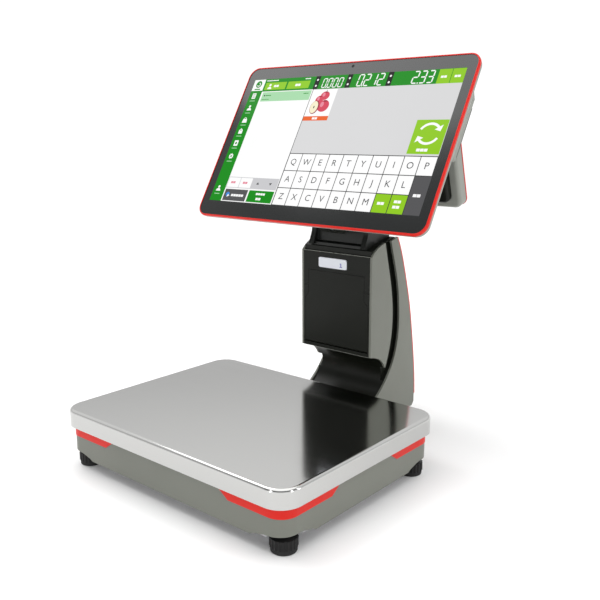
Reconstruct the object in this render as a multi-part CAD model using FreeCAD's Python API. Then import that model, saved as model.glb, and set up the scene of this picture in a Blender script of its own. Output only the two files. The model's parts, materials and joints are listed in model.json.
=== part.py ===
import FreeCAD, Part
import math
import os

# Retail price scale: a stainless platter on a four-footed base, and behind it a column that
# holds a label printer, a leaning operator's touchscreen and a customer's display.
# Millimetres. X = 0 is the mid-plane and +X the operator's right, Z = 0 is the counter.
# Lengths below are written with Y = 0 at the platter's rear edge; save() then moves every
# piece back by REAR, so that the origin lies under the middle of the whole machine.

V = FreeCAD.Vector

# ---- driving dimensions -------------------------------------------------------------
REAR = 60.0                     # platter's rear edge behind the origin
PLATTER_HALF = 186.0            # platter half width
PLATTER_D = 285.0               # platter depth, front to rear
PLATTER_TOP = 76.0
PLATTER_RIM = 21.6              # height of the platter's turned-down rim
PLATTER_R = 26.0                # corner radius in plan
SHEET = 1.5                     # stainless sheet
MID_Y = -PLATTER_D / 2          # middle of the platter

SKIRT_INSET = 6.0               # skirt behind the platter's rim
SKIRT_WALL = 3.0
SKIRT_LOW = 15.0
SKIRT_HIGH = 61.0
STRIP_LOW = 41.8                # red corner strips, just under the platter's rim
STRIP_HIGH = 56.0
STRIP_REACH = 99.0              # from the sharp corner, along both sides
STRIP_TAPER = 17.0

FLOOR_Z = 22.0                  # underside of the base frame's floor
FLOOR_T = 5.0
FOOT_X = 163.5                  # levelling feet
FOOT_INSET = 25.0               # foot centres from the platter's front and rear edges
FOOT_Y = (-FOOT_INSET, FOOT_INSET - PLATTER_D)
FOOT_R = 15.0
STUD_R = 4.0
RUN = 0.05                      # radial clearance of a running fit

BOLT_R = 3.0
CELL_BOLT_X = (-76.0, -50.0, 50.0, 76.0)
CELL_LOW = 32.0                 # load cell, lower and upper faces
CELL_HIGH = 52.0

STEM_LOW = 16.0                 # underside of the column's foot
BACK_REACH = 146.0              # rear face of the column's foot
CORE_X = 57.0                   # column's black core, half width
WALL_X = 50.0                   # inner faces of the core's side walls
MAST_HALF = 25.0
MAST_T = 16.0
MAST_FOOT = 105.0               # front face at its foot
MAST_TOP = (75.5, 262.0)
MAST_PLATE_LOW = 27.0
MAST_PLATE_HIGH = 31.0
CAMERA = (26.0, 292.0)          # Y, Z of the recognition camera

PANEL_IN = 57.0                 # column's side plates, inner and outer faces
PANEL_OUT = 60.0
FACE_Y = 33.5                   # printer's front face
FACE_LOW = 113.0
FACE_HIGH = 249.5
SKIN = 3.0                      # moulded wall
FACE_T = 3.0
CORE_FRONT = FACE_Y + FACE_T + 0.2
GAP = 0.4                       # gaps round the door and the release key
DOOR_PIN = (36.2, 121.0)        # Y, Z
BARREL_R = DOOR_PIN[0] - FACE_Y # door's lower edge, rolled round its pin
DOOR_PIN_R = 1.25
DOOR_X = 54.2                   # door's half width, and above the shoulders:
DOOR_NECK_X = 47.7
SHOULDER = (183.0, 189.0)       # heights between which the door narrows
DOOR_TOP = 222.8
CHASSIS_X = 44.0                # inner faces of the chassis's side plates
CHASSIS_T = 1.5
PLATEN = (44.0, 212.0)
PLATEN_R = 7.0
ROLL = (62.0, 146.0)
ROLL_R = 23.0
GEAR_MODULE = 0.6
PLATEN_TEETH = 23
PINION_TEETH = 23
MESH_ANGLE = -60.0              # direction from platen gear to pinion
KEY_X = -5.5                    # release key's middle
KEY_Z = 235.3

SOCKET_Z = 43.0                 # connector panel
SOCKET_DEEP = 12.0
PANEL_Y = 139.0                 # its outer face
INLET_X = -32.0
INLET_R = 2.8

LEAN = 30.3                     # operator's display leans back by this
DISPLAY = (12.4, 401.2)         # Y, Z of the middle of its glass
SCREEN_W = 187.0                # housing half width
SCREEN_LOW = -120.5             # housing's lower and upper edges from that middle
SCREEN_HIGH = 117.0
SCREEN_R = 16.0
BEZEL = 2.0                     # red rim: its width in front,
RIM_PROUD = 0.8                 # how far it stands proud of the glass
RIM_BACK = 3.2                  # and how far back it reaches
GLASS_T = 2.5
BACK_DEPTH = 12.0               # back shell behind the glass
HUMP_DEPTH = 28.0               # housing of the computer
HUMP_X = 177.5
BUTTON_X = 150.0                # power button, along the screen and behind the glass
BUTTON_Y = 18.0
TILT_PIN_V = -51.0              # tilt pin, along the screen and behind it
TILT_PIN_W = 57.0
TILT_PIN_R = 5.0

REAR_LEAN = 16.9                # customer's display leans back by this
REAR_DISPLAY = (140.5, 392.5)
REAR_W = 125.5
REAR_H = 82.5
REAR_R = 11.0
REAR_RIM_BACK = 1.8
REAR_SHELL_DEPTH = 18.0
REAR_DEPTH = 28.0
REAR_PIN_V = 18.0
REAR_PIN_W = 47.0
REAR_PIN_R = 4.0


# ---- building blocks ----------------------------------------------------------------
def save(name, shape):
    moved = shape.copy()
    moved.translate(V(0, REAR, 0))
    moved.exportStep(os.path.join("parts", name + ".step"))


def box(x0, x1, y0, y1, z0, z1):
    return Part.makeBox(x1 - x0, y1 - y0, z1 - z0, V(x0, y0, z0))


def slab(half, y0, y1, z0, z1):
    """A box centred on the mid-plane."""
    return box(-half, half, y0, y1, z0, z1)


def edges_along(shape, axis):
    found = []
    for edge in shape.Edges:
        if isinstance(edge.Curve, Part.Line):
            run = edge.Vertexes[-1].Point - edge.Vertexes[0].Point
            if abs(abs(run.normalize().dot(axis)) - 1) < 1e-6:
                found.append(edge)
    return found


def rounded(shape, radius, axis):
    """The shape with its straight edges along the axis rounded."""
    return shape.makeFillet(radius, edges_along(shape, axis))


def edges_at(shape, axis, level):
    """Edges that lie in the plane where the axis coordinate is level."""
    return [e for e in shape.Edges if all(abs(v.Point.dot(axis) - level) < 1e-6 for v in e.Vertexes)]


X_AXIS = V(1, 0, 0)
Y_AXIS = V(0, 1, 0)
Z_AXIS = V(0, 0, 1)


def rod_x(x0, x1, y, z, radius):
    return Part.makeCylinder(radius, x1 - x0, V(x0, y, z), X_AXIS)


def rod_y(x, y0, y1, z, radius):
    return Part.makeCylinder(radius, y1 - y0, V(x, y0, z), Y_AXIS)


def rod_z(x, y, z0, z1, radius):
    return Part.makeCylinder(radius, z1 - z0, V(x, y, z0), Z_AXIS)


def spline_yz(points):
    curve = Part.BSplineCurve()
    curve.interpolate([V(0, y, z) for y, z in points])
    return curve.toShape()


def outline_yz(runs):
    """A closed face in the Y-Z plane. Each run is a list of points: two make a straight
    edge, three an arc and more a smooth curve. Each run starts where the last one ended."""
    edges = []
    for run in runs:
        if len(run) == 2:
            edges.append(Part.makeLine(V(0, *run[0]), V(0, *run[1])))
        elif len(run) == 3:
            edges.append(Part.Arc(*[V(0, y, z) for y, z in run]).toShape())
        else:
            edges.append(spline_yz(run))
    return Part.Face(Part.Wire(edges))


def polygon_yz(points):
    return Part.Face(Part.makePolygon([V(0, y, z) for y, z in points + points[:1]]))


def extrude_x(face, x0, x1):
    moved = face.copy()
    moved.translate(V(x0, 0, 0))
    return moved.extrude(V(x1 - x0, 0, 0))


def both_sides(shape):
    """The shape and its mirror image across the mid-plane."""
    return [shape, shape.mirror(V(0, 0, 0), X_AXIS)]


def group(shapes):
    return Part.makeCompound(shapes)


def toothed(teeth, root_r, tip_r, root_share, tip_share, phase):
    """A toothed outline about the X axis, with its first tooth at the phase angle."""
    pitch = 2 * math.pi / teeth
    corners = ((-root_share, root_r), (-tip_share, tip_r), (tip_share, tip_r), (root_share, root_r))
    points = []
    for i in range(teeth):
        middle = math.radians(phase) + i * pitch
        for share, radius in corners:
            angle = middle + share * pitch / 2
            points.append((radius * math.cos(angle), radius * math.sin(angle)))
    return polygon_yz(points)


def gear(teeth, phase, x0, x1, centre, bore):
    pitch_r = GEAR_MODULE * teeth / 2
    face = toothed(teeth, pitch_r - 0.8 * GEAR_MODULE, pitch_r + 0.6 * GEAR_MODULE, 0.56, 0.22, phase)
    face.translate(V(0, *centre))
    return extrude_x(face, x0, x1).cut(rod_x(x0, x1, centre[0], centre[1], bore))


# ---- base ---------------------------------------------------------------------------
def plan_block(inset, z0, z1, radius):
    """A block with the platter's plan shape, pulled in all round by inset."""
    half = PLATTER_HALF - inset
    return rounded(box(-half, half, inset - PLATTER_D, -inset, z0, z1), radius, Z_AXIS)


def platter():
    low = PLATTER_TOP - PLATTER_RIM
    outer = plan_block(0, low, PLATTER_TOP, PLATTER_R)
    outer = outer.makeFillet(4.0, edges_at(outer, Z_AXIS, PLATTER_TOP))
    inner = plan_block(SHEET, low - 1, PLATTER_TOP - SHEET, PLATTER_R - SHEET)
    inner = inner.makeFillet(2.5, edges_at(inner, Z_AXIS, PLATTER_TOP - SHEET))
    return outer.cut(inner)


def corner_strip(side_x, front):
    """One red corner strip: a band that turns the corner, with its ends tapered upwards."""
    band = plan_block(SKIRT_INSET - 0.6, STRIP_LOW, STRIP_HIGH, 20.6)
    band = band.cut(plan_block(SKIRT_INSET + 1.2, STRIP_LOW, STRIP_HIGH, 18.8))
    x_far = side_x * PLATTER_HALF
    x_near = side_x * (PLATTER_HALF - STRIP_REACH)
    y_far = -PLATTER_D if front else 0.0
    y_step = 1 if front else -1
    y_near = y_far + y_step * STRIP_REACH
    x_span = sorted((x_far, x_near))
    y_span = sorted((y_far, y_near))
    corner = box(*x_span, *y_span, STRIP_LOW, STRIP_HIGH)
    taper_x = Part.makePolygon([
        V(x_near, y_far - 50, STRIP_LOW),
        V(x_near + side_x * STRIP_TAPER, y_far - 50, STRIP_LOW),
        V(x_near, y_far - 50, STRIP_HIGH - 2.5),
        V(x_near, y_far - 50, STRIP_LOW),
    ])
    taper_y = Part.makePolygon([
        V(x_far - 50, y_near, STRIP_LOW),
        V(x_far - 50, y_near - y_step * STRIP_TAPER, STRIP_LOW),
        V(x_far - 50, y_near, STRIP_HIGH - 2.5),
        V(x_far - 50, y_near, STRIP_LOW),
    ])
    band = band.common(corner)
    band = band.cut(Part.Face(taper_x).extrude(V(0, 100, 0)))
    return band.cut(Part.Face(taper_y).extrude(V(100, 0, 0)))


def foot_places():
    return [(x, y) for y in FOOT_Y for x in (-FOOT_X, FOOT_X)]


def base_skirt(strips):
    outer = plan_block(SKIRT_INSET, SKIRT_LOW, SKIRT_HIGH, 20.0)
    wall = SKIRT_INSET + SKIRT_WALL
    skirt = outer.cut(plan_block(wall, SKIRT_LOW, SKIRT_HIGH - 2, 17.0))
    skirt = skirt.cut(plan_block(wall + 9, SKIRT_HIGH - 2, SKIRT_HIGH, 8.0))
    # the lower edge lifts over each foot, in a small step and then a long slope
    for x, y in foot_places():
        skirt = skirt.cut(Part.makeCone(35.0, 31.0, 2.4, V(x, y, SKIRT_LOW), Z_AXIS))
        skirt = skirt.cut(Part.makeCone(31.0, 17.0, 4.8, V(x, y, SKIRT_LOW + 2.4), Z_AXIS))
    # the column's stem passes through the rear wall
    skirt = skirt.cut(box(-PANEL_OUT, PANEL_OUT, -12, 2, SKIRT_LOW, 35.0))
    for strip in strips:
        skirt = skirt.cut(strip)
    return skirt


def base_frame():
    floor_top = FLOOR_Z + FLOOR_T
    frame = rounded(box(-175, 175, 11 - PLATTER_D, -11, FLOOR_Z, 42), 14, Z_AXIS)
    frame = frame.cut(rounded(box(-171, 171, 15 - PLATTER_D, -15, floor_top, 42), 10, Z_AXIS))
    frame = frame.fuse(box(-48, 48, -14, 132, FLOOR_Z, floor_top))
    for x, y in foot_places():
        frame = frame.fuse(rod_z(x, y, FLOOR_Z, 36, 11)).cut(rod_z(x, y, FLOOR_Z - 1, 37, STUD_R + RUN))
    frame = frame.fuse(box(-86, -36, MID_Y - 20, MID_Y + 20, floor_top, CELL_LOW))
    # stiffening ribs across the floor, clear of the load cell and of the boards
    for x in (-125, 115):
        frame = frame.fuse(box(x, x + 4, 40 - PLATTER_D, -40, floor_top, 34))
    for x, y in mast_bolt_places():
        frame = frame.cut(rod_z(x, y, FLOOR_Z - 1, floor_top + 1, BOLT_R + 0.2))
    for x in CELL_BOLT_X[:2]:
        frame = frame.cut(rod_z(x, MID_Y, FLOOR_Z - 1, CELL_LOW + 1, BOLT_R + 0.2))
    return frame.removeSplitter()


def bottom_plate():
    plate = plan_block(SKIRT_INSET + SKIRT_WALL + 0.4, 17.0, 18.2, 16.5)
    for x, y in foot_places():
        plate = plate.cut(rod_z(x, y, 16, 19, FOOT_R + 3))
    for x in CELL_BOLT_X[:2]:
        plate = plate.cut(rod_z(x, MID_Y, 16, 19, 6.5))
    for i in range(9):
        x = (i - 4) * 14.0
        plate = plate.cut(box(x - 3, x + 3, MID_Y + 45, MID_Y + 85, 16, 19))
    return plate


# ---- weighing train -----------------------------------------------------------------
def load_cell():
    cell = box(-84, 84, MID_Y - 17, MID_Y + 17, CELL_LOW, CELL_HIGH)
    middle = (CELL_LOW + CELL_HIGH) / 2
    for x in (-14, 14):
        cell = cell.cut(rod_y(x, MID_Y - 18, MID_Y + 18, middle, 7.5))
    cell = cell.cut(box(-14, 14, MID_Y - 18, MID_Y + 18, middle - 2.5, middle + 2.5))
    for x in CELL_BOLT_X:
        cell = cell.cut(rod_z(x, MID_Y, CELL_LOW - 1, CELL_HIGH + 1, BOLT_R + 0.1))
    return cell


def platter_spider():
    """Cast carrier: a middle plate on the load cell and four arms to the platter's pads."""
    spider = box(-92, 92, MID_Y - 34, MID_Y + 34, 54, 59)
    spider = spider.fuse(box(36, 86, MID_Y - 18, MID_Y + 18, CELL_HIGH, 55))
    for x, y in pad_places():
        reach = V(x, y - MID_Y, 0)
        length = reach.Length
        arm = box(0, length + 12, -14, 14, 54, 66).cut(box(48, length + 1, -10, 10, 53, 60))
        arm.rotate(V(0, 0, 0), Z_AXIS, math.degrees(math.atan2(reach.y, reach.x)))
        arm.translate(V(0, MID_Y, 0))
        spider = spider.fuse(arm).fuse(rod_z(x, y, 54, 71, 13))
    spider = spider.cut(box(-88, 88, MID_Y - 20, MID_Y + 20, 59, 80))
    for x in CELL_BOLT_X[2:]:
        spider = spider.cut(rod_z(x, MID_Y, 51, 60, BOLT_R + 0.2))
    return spider.removeSplitter()


def pad_places():
    return [(x, MID_Y + y) for x in (-140, 140) for y in (-92, 92)]


def spider_pads():
    return group([rod_z(x, y, 71, 74.2, 11) for x, y in pad_places()])


def mast_bolt_places():
    return [(x, y) for x in (-34, 34) for y in (104, 124)]


def m6_bolt(x, y, seat, up):
    """A 14 mm socket bolt whose head bears at the height seat and points up or down."""
    head = rod_z(x, y, 0, 6, 5).cut(rod_z(x, y, 2, 6, 2.5))
    bolt = head.fuse(rod_z(x, y, -14, 0, BOLT_R))
    if not up:
        bolt.rotate(V(x, y, 0), X_AXIS, 180)
    bolt.translate(V(0, 0, seat))
    return bolt


def m6_bolts():
    bolts = [m6_bolt(x, MID_Y, FLOOR_Z, False) for x in CELL_BOLT_X[:2]]
    bolts += [m6_bolt(x, MID_Y, 59.0, True) for x in CELL_BOLT_X[2:]]
    bolts += [m6_bolt(x, y, MAST_PLATE_HIGH, True) for x, y in mast_bolt_places()]
    return group(bolts)


def weighing_board():
    board = box(-40, 30, 30 - PLATTER_D, 85 - PLATTER_D, 32, 33.6)
    board = board.fuse(box(-34, -14, 38 - PLATTER_D, 58 - PLATTER_D, 33.6, 36))
    board = board.fuse(box(0, 24, 66 - PLATTER_D, 78 - PLATTER_D, 33.6, 41))
    for x in (-36, 26):
        for y in (34 - PLATTER_D, 81 - PLATTER_D):
            board = board.fuse(rod_z(x, y, FLOOR_Z + FLOOR_T, 32, 3))
    return board.removeSplitter()


def bubble_level():
    """A round spirit level on a post, seen when the platter is lifted off."""
    x = -104
    y = 28 - PLATTER_D
    body = rod_z(x, y, FLOOR_Z + FLOOR_T, 50, 11).cut(rod_z(x, y, 46, 50, 8.5))
    dome = rod_z(x, y, 46, 48.5, 8.5)
    return body.fuse(dome)


# ---- levelling feet -----------------------------------------------------------------
def foot_sole(x, y):
    sole = rod_z(x, y, 0, 5, FOOT_R - 1)
    return sole.makeFillet(1.2, edges_at(sole, Z_AXIS, 0))


def foot_knob(x, y):
    points = []
    ridges = 20
    for i in range(ridges * 2):
        radius = FOOT_R if i % 2 == 0 else FOOT_R - 1.0
        angle = math.pi * (i + 0.5) / ridges
        points.append(V(x + radius * math.cos(angle), y + radius * math.sin(angle), 5.3))
    knob = Part.Face(Part.makePolygon(points + points[:1])).extrude(V(0, 0, 10.4))
    knob = knob.fuse(Part.makeCone(FOOT_R - 1.2, 9, 3.5, V(x, y, 15.7), Z_AXIS))
    return knob.fuse(rod_z(x, y, 15.7, 42, STUD_R)).removeSplitter()


# ---- column -------------------------------------------------------------------------
# Side view of the column, in Y and Z. The side plates' rear edge:
BACK = [
    (92.5, 271), (103.5, 247), (115.5, 211), (126, 174), (134, 134), (140.5, 94), (145, 56), (146, 34),
]
# front edge of the rear side plates, sweeping forward into the base
SWEEP = [
    (78, 267), (87.5, 238), (97, 204), (101.5, 168), (101, 136), (95.5, 111), (85, 89), (69, 69),
    (47, 51), (22, 40), (-5, 36),
]
# the printer cheek's curved rear edge, from its top to its lower tip
CHEEK_REAR = [(64, 266), (75, 225), (82, 194), (85, 166), (83.5, 139), (78, 114), (69, 91)]
# the hollow under the printer, from the cheek's tip to the printer's lower lip
COVE = [(69, 91), (64.5, 98), (57.5, 104.5), (47, 109.5), (33.5, 113)]
CHEEK_TOP = [(33.5, 249.5), (42.5, 257.5), (52, 262.5), (64, 266)]


def shifted(points, dy):
    return [(y + dy, z) for y, z in points]


def side_plate():
    """Rear side plate, right-hand: it also closes the side of the stem beside the base."""
    face = outline_yz([
        BACK,
        [BACK[-1], (BACK_REACH, 22)],
        [(BACK_REACH, 22), (141, STEM_LOW)],
        [(141, STEM_LOW), (-5, STEM_LOW)],
        [(-5, STEM_LOW), SWEEP[-1]],
        SWEEP[::-1],
        [SWEEP[0], BACK[0]],
    ])
    return extrude_x(face, PANEL_IN, PANEL_OUT)


def cheek():
    """Printer cheek, right-hand."""
    face = outline_yz([
        CHEEK_TOP,
        CHEEK_REAR,
        COVE,
        [COVE[-1], CHEEK_TOP[0]],
    ])
    return extrude_x(face, PANEL_IN, PANEL_OUT)


def column_trims():
    """Thin red lines along the rear edges of the side plates."""
    outer = shifted(BACK, 1.8)
    face = outline_yz([
        outer,
        [outer[-1], BACK[-1]],
        BACK[::-1],
        [BACK[0], outer[0]],
    ])
    return group(both_sides(extrude_x(face, PANEL_OUT - 4, PANEL_OUT)))


def rear_cover():
    """Curved cover that closes the column's back between the side plates."""
    outer = shifted(BACK, -0.4)
    inner = shifted(BACK, -3.4)
    face = outline_yz([
        outer,
        [outer[-1], (BACK_REACH - 0.4, STEM_LOW)],
        [(BACK_REACH - 0.4, STEM_LOW), (BACK_REACH - 3.4, STEM_LOW)],
        [(BACK_REACH - 3.4, STEM_LOW), inner[-1]],
        inner[::-1],
        [inner[0], outer[0]],
    ])
    cover = extrude_x(face, -55.6, 55.6)
    cover = cover.cut(slab(46, 130, 150, 29, 57))
    for i in range(8):
        z = 150 + i * 9.0
        cover = cover.cut(slab(30, 80, 150, z, z + 3.2))
    return cover


def core_block(half):
    """The core's outer shape, extruded to a half width."""
    back = shifted(BACK, -3.8)
    face = outline_yz([
        [(CORE_FRONT, FACE_LOW), (CORE_FRONT, 257)],
        [(CORE_FRONT, 257), (52, 262.5)],
        [(52, 262.5), back[0]],
        back,
        [back[-1], (142.2, 19)],
        [(142.2, 19), (-5, 19)],
        [(-5, 19), (-5, 32)],
        [(-5, 32), (22, 36), (46, 47), (63, 61), (70, 76), (69, 91)],
        COVE,
        [COVE[-1], (CORE_FRONT, FACE_LOW)],
    ])
    return extrude_x(face, -half, half)


def column_core():
    """Black moulded body of the column: bay for the printer in front, duct for the mast behind."""
    core = core_block(CORE_X)
    bay = polygon_yz([(30, 117), (88, 117), (80, 200), (72, 246), (30, 246)])
    core = core.cut(extrude_x(bay, -WALL_X, WALL_X))
    duct = polygon_yz([
        (-8, 17), (-8, 28.5), (22, 32.5), (48, 43.5), (66, 59), (73.5, 75), (72.8, 92), (91, 113), (83, 200),
        (75, 247), (72, 258), (150, 258), (150, 17),
    ])
    core = core.cut(extrude_x(duct, -WALL_X, WALL_X))
    # grooves between the printer cheeks and the rear side plates
    groove = outline_yz([
        CHEEK_REAR,
        [CHEEK_REAR[-1], SWEEP[7]],
        SWEEP[7::-1],
        [SWEEP[0], CHEEK_REAR[0]],
    ])
    for piece in both_sides(extrude_x(groove, CORE_X - 5, CORE_X + 1)):
        core = core.cut(piece)
    # the mast comes out through the top, and the door's lower edge turns in front of the bay
    core = core.cut(slab(MAST_HALF + 0.5, MAST_TOP[0] - 2, MAST_TOP[0] + MAST_T + 6, 250, 275))
    core = core.cut(rod_x(-DOOR_X - GAP, DOOR_X + GAP, *DOOR_PIN, BARREL_R + GAP))
    return core.cut(rod_x(-56.3, 56.3, *DOOR_PIN, DOOR_PIN_R + RUN))


# ---- mast and neck ------------------------------------------------------------------
def mast():
    """Steel box section that leans forward, welded to a foot plate."""
    def leaning(inset, z0, z1):
        slope = (MAST_FOOT - MAST_TOP[0]) / (MAST_TOP[1] - MAST_PLATE_LOW)
        front = [MAST_FOOT - slope * (z - MAST_PLATE_LOW) + inset for z in (z0, z1)]
        rear = [y + MAST_T - 2 * inset for y in front]
        face = polygon_yz([(front[0], z0), (rear[0], z0), (rear[1], z1), (front[1], z1)])
        return extrude_x(face, inset - MAST_HALF, MAST_HALF - inset)

    tube = leaning(0, MAST_PLATE_LOW, MAST_TOP[1]).cut(leaning(3, MAST_PLATE_HIGH, MAST_TOP[1] + 1))
    plate = slab(44, 96, 131, MAST_PLATE_LOW, MAST_PLATE_HIGH)
    for x, y in mast_bolt_places():
        plate = plate.cut(rod_z(x, y, 20, 40, BOLT_R + 0.2))
    return tube.fuse(plate).removeSplitter()


def tilt_pin_place():
    """Y and Z of the pin that the operator's display tilts about."""
    lean = math.radians(LEAN)
    y = DISPLAY[0] + TILT_PIN_V * math.sin(lean) + TILT_PIN_W * math.cos(lean)
    z = DISPLAY[1] + TILT_PIN_V * math.cos(lean) - TILT_PIN_W * math.sin(lean)
    return y, z


def neck_yoke():
    """Fork on top of the column: a foot over the mast, two arms and a wall between them."""
    y, z = tilt_pin_place()
    arm = outline_yz([
        [(38, 259), (33.5, 259)],
        [(33.5, 259), (37, 268), (41, 281), (36, 300), (y - 14, z)],
        [(y - 14, z), (y, z + 14), (y + 14, z)],
        [(y + 14, z), (54, 306), (66, 287), (88, 268.5)],
        [(88, 268.5), (88, 266)],
        [(88, 266), (38, 259)],
    ])
    arms = both_sides(extrude_x(arm, 40, 48))
    foot = polygon_yz([(38, 258), (52, 263), (90, 271.2), (90, 274), (52, 267), (38, 262)])
    yoke = extrude_x(foot, -48, 48).fuse(arms)
    yoke = yoke.fuse(neck_wall())
    yoke = yoke.cut(core_block(60))
    yoke = yoke.cut(slab(MAST_HALF + 0.2, 72, 100, 250, MAST_TOP[1] + 0.2))
    return yoke.cut(rod_x(-60, 60, y, z, TILT_PIN_R + RUN)).removeSplitter()


def neck_wall():
    """Wall between the neck's arms; the camera is fixed to its front."""
    wall = polygon_yz([(44, 262), (48, 262), (50, 284), (46, 303), (42, 303), (46, 284)])
    return extrude_x(wall, -41, 41)


def tilt_pin():
    y, z = tilt_pin_place()
    return rod_x(-49.5, 49.5, y, z, TILT_PIN_R)


def camera_axis_turned(shape):
    """Aim a piece that looks along -Z from the origin at the middle of the platter."""
    aim = math.degrees(math.atan2(CAMERA[0] - MID_Y, CAMERA[1] - PLATTER_TOP))
    shape.rotate(V(0, 0, 0), X_AXIS, -aim)
    shape.translate(V(0, *CAMERA))
    return shape


def camera_housing():
    """Recognition camera that looks down at the platter from under the display."""
    shell = rounded(box(-21, 21, -11, 11, -9, 9), 4, Z_AXIS)
    shell = shell.cut(rod_z(0, 0, -10, -4, 7))
    shell = shell.cut(slab(18.5, -8.5, 8.5, -4, 7.2).cut(rod_z(0, 0, -5, -2, 9)))
    stem = slab(12, 40, 46, 286, 300).fuse(slab(12, 32, 46, 291, 299))
    return camera_axis_turned(shell).fuse(stem.cut(neck_wall())).removeSplitter()


def camera_lens():
    lens = rod_z(0, 0, -8.5, -4, 6.9)
    return camera_axis_turned(lens.cut(Part.makeSphere(9, V(0, 0, -16))))


# ---- label printer ------------------------------------------------------------------
def front_outline(points, y0, y1):
    """A flat piece of the printer's face from its outline in X and Z."""
    wire = Part.makePolygon([V(x, y0, z) for x, z in points + points[:1]])
    return Part.Face(wire).extrude(V(0, y1 - y0, 0))


def mirrored_outline(right):
    """A closed outline from its right-hand half, listed upwards."""
    return right + [(-x, z) for x, z in right[::-1]]


def door_outline(grow, low):
    return mirrored_outline([
        (DOOR_X + grow, low),
        (DOOR_X + grow, SHOULDER[0] + grow / 2),
        (DOOR_NECK_X + grow, SHOULDER[1] + grow / 2),
        (DOOR_NECK_X + grow, DOOR_TOP + grow),
    ])


def printer_door():
    """Drop-down door. It carries the platen, so that paper can be laid in when it is open."""
    y1 = FACE_Y + FACE_T
    door = front_outline(door_outline(0, DOOR_PIN[1]), FACE_Y, y1)
    door = door.fuse(rod_x(-DOOR_X, DOOR_X, *DOOR_PIN, BARREL_R))
    lug = box(46.2, 47.6, y1 - 1, PLATEN[0] + 6, PLATEN[1] - 8, PLATEN[1] + 7)
    rib = box(40, 41.5, y1 - 1, y1 + 2.5, 128, 200)
    for piece in both_sides(lug.fuse(rib)):
        door = door.fuse(piece)
    door = door.fuse(slab(38, y1 - 1, y1 + 2.5, 128, 129.5))
    door = door.cut(rod_x(-60, 60, *PLATEN, 3.0 + RUN))
    # the pin passes through the whole lower edge
    return door.cut(rod_x(-60, 60, *DOOR_PIN, DOOR_PIN_R + RUN)).removeSplitter()


def door_pin():
    return rod_x(-56.2, 56.2, *DOOR_PIN, DOOR_PIN_R)


def printer_fascia():
    """Fixed top of the printer's face, with two shoulders beside the door."""
    right = [
        (DOOR_NECK_X + GAP, DOOR_TOP + GAP),
        (DOOR_NECK_X + GAP, 201.9),
        (PANEL_IN - 0.2, 201.9),
        (PANEL_IN - 0.2, FACE_HIGH - 1.5),
        (PANEL_IN - 1.7, FACE_HIGH),
    ]
    fascia = front_outline(mirrored_outline(right), FACE_Y, FACE_Y + FACE_T)
    fascia = fascia.cut(key_block(GAP, FACE_Y - 1, FACE_Y + FACE_T + 1))
    return fascia


def door_frame():
    """Fixed frame round the lower, wider part of the door."""
    edge = DOOR_X + GAP
    neck = DOOR_NECK_X + GAP
    right = [
        (edge, DOOR_PIN[1] - BARREL_R - GAP),
        (edge, SHOULDER[0] + GAP / 2),
        (neck, SHOULDER[1] + GAP / 2),
        (neck, 201.5),
        (PANEL_IN - 0.2, 201.5),
        (PANEL_IN - 0.2, FACE_LOW + 0.2),
    ]
    frame = front_outline(mirrored_outline(right), FACE_Y, FACE_Y + FACE_T)
    return frame.cut(rod_x(-56.3, 56.3, *DOOR_PIN, DOOR_PIN_R + RUN))


def key_block(grow, y0, y1):
    half = 24.0 + grow
    rise = 6.9 + grow
    block = box(KEY_X - half, KEY_X + half, y0, y1, KEY_Z - rise, KEY_Z + rise)
    return rounded(block, 2.6 + grow, Y_AXIS)


def release_key():
    """White key in the fascia that lets the door go, with a flange that keeps it in."""
    return key_block(0, FACE_Y - 0.6, FACE_Y + FACE_T + 0.5).fuse(
        key_block(2.0, FACE_Y + FACE_T + 0.4, FACE_Y + FACE_T + 1.4)).removeSplitter()


def printer_chassis():
    """Folded steel frame that carries the roll, the print head and the motor."""
    side = polygon_yz([(40, 119), (83, 119), (75, 198), (68.5, 243), (40, 243)])
    right = extrude_x(side, CHASSIS_X, CHASSIS_X + CHASSIS_T)
    right = right.cut(box(40, 50, 36, PLATEN[0] + 5, PLATEN[1] - 5, PLATEN[1] + 6))
    chassis = right.fuse(right.mirror(V(0, 0, 0), X_AXIS))
    chassis = chassis.fuse(slab(CHASSIS_X + CHASSIS_T, 44, 83, 119, 120.5))
    chassis = chassis.fuse(slab(CHASSIS_X + CHASSIS_T, 60, 68.5, 241.5, 243))
    chassis = chassis.cut(rod_x(-50, 50, *ROLL, 4 + RUN))
    return chassis.cut(rod_x(-50, 50, *pinion_place(), 1.5 + RUN)).removeSplitter()


def pinion_place():
    reach = GEAR_MODULE * (PLATEN_TEETH + PINION_TEETH) / 2 + 0.12
    angle = math.radians(MESH_ANGLE)
    return PLATEN[0] + reach * math.cos(angle), PLATEN[1] + reach * math.sin(angle)


def platen_roller():
    return rod_x(-40.5, 40.5, *PLATEN, PLATEN_R).cut(rod_x(-41, 41, *PLATEN, 3.0))


def platen_shaft():
    """Platen shaft with its gear moulded on."""
    return rod_x(-47.6, 47.6, *PLATEN, 3.0).fuse(gear(PLATEN_TEETH, MESH_ANGLE, 41.0, 43.4, PLATEN, 2.5))


def motor_pinion():
    """Pinion and motor shaft in one; a tooth gap faces the platen gear."""
    y, z = pinion_place()
    half_tooth = 180.0 / PINION_TEETH
    pinion = gear(PINION_TEETH, MESH_ANGLE + 180 + half_tooth, 41.0, 43.4, (y, z), 1.5)
    return pinion.fuse(rod_x(34.0, CHASSIS_X + CHASSIS_T, y, z, 1.5))


def feed_motor():
    """Stepper motor close under the platen, on a bracket from the chassis's side plate."""
    y, z = pinion_place()
    can = rod_x(8, 37, y, z, 6.4)
    bracket = box(36, 38, y - 6, y + 14, z - 15, z + 3)
    bracket = bracket.fuse(box(36, CHASSIS_X, y - 6, y + 14, z - 15, z - 12.5))
    return can.fuse(bracket).cut(rod_x(33, 39, y, z, 1.5 + RUN)).removeSplitter()


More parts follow.
